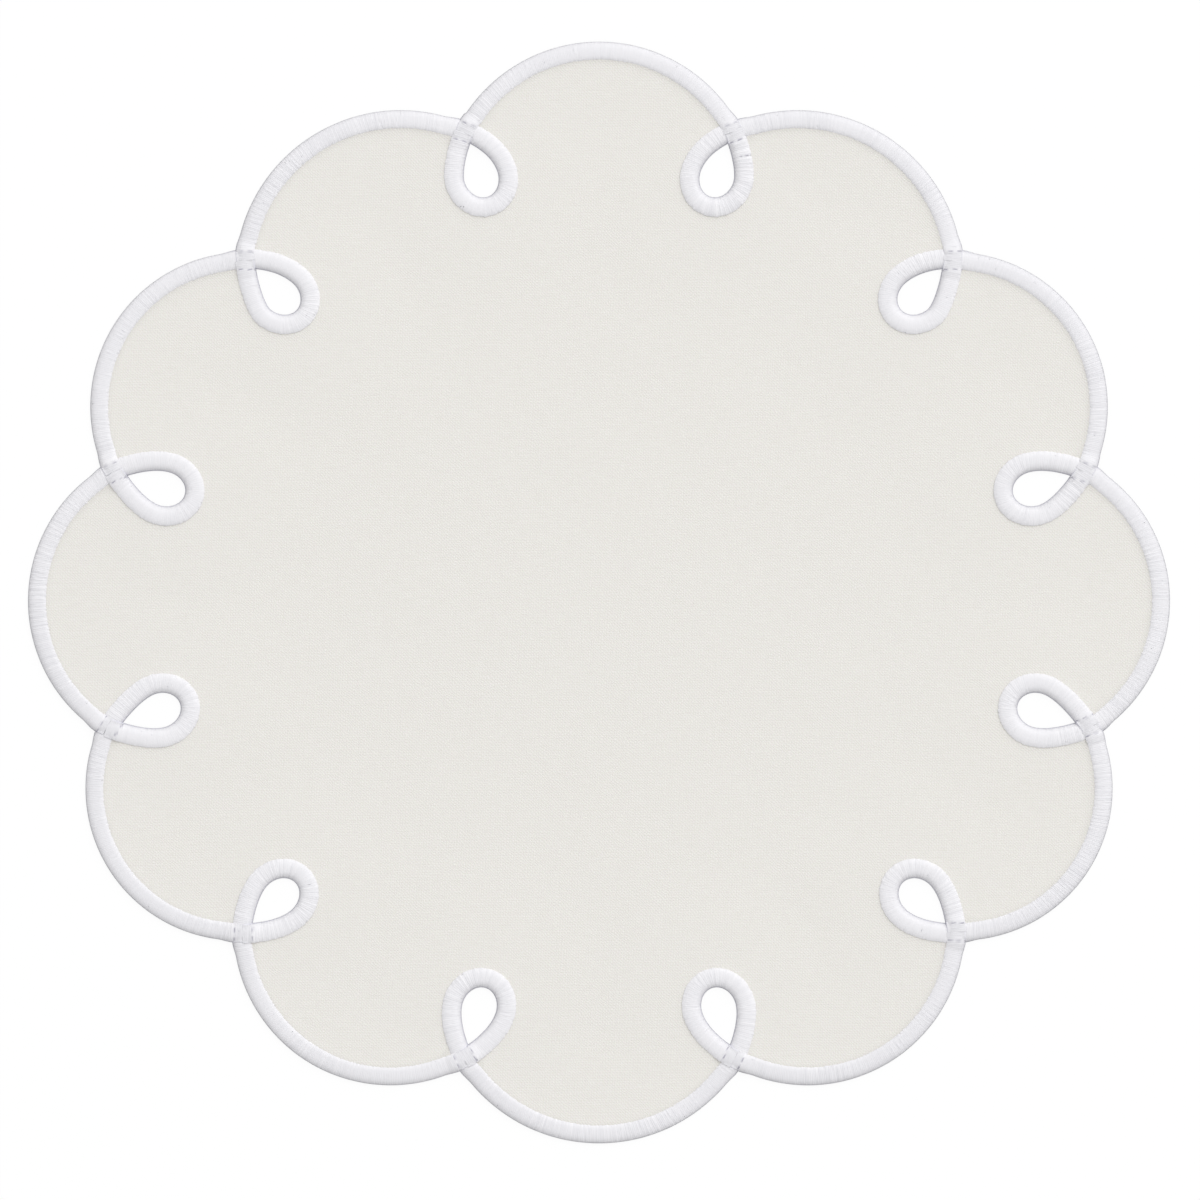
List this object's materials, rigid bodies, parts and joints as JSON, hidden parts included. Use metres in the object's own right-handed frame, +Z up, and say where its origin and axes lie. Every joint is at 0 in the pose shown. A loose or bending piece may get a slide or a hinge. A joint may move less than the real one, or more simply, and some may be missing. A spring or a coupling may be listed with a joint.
{
  "type": "embroidered placemat",
  "caption": "Flat scalloped linen placemat, its edge closed by one satin-stitched line that crosses itself at each notch and circles a small teardrop cut-out.",
  "frame": {"origin": "centre of the underside's bounding box, on the surface the mat lies on", "axes": "+X along the mat's long way, +Y towards the top scallop, +Z up out of the face"},
  "size_m": [0.38, 0.3666, 0.0028],
  "materials": {
    "linen": "plain-woven natural white linen, matt",
    "satin_thread": "close satin stitch in cool white embroidery thread, soft sheen"
  },
  "bodies": {
    "root": {"linen_ground": "linen", "satin_border": "satin_thread"}
  },
  "joints": []
}
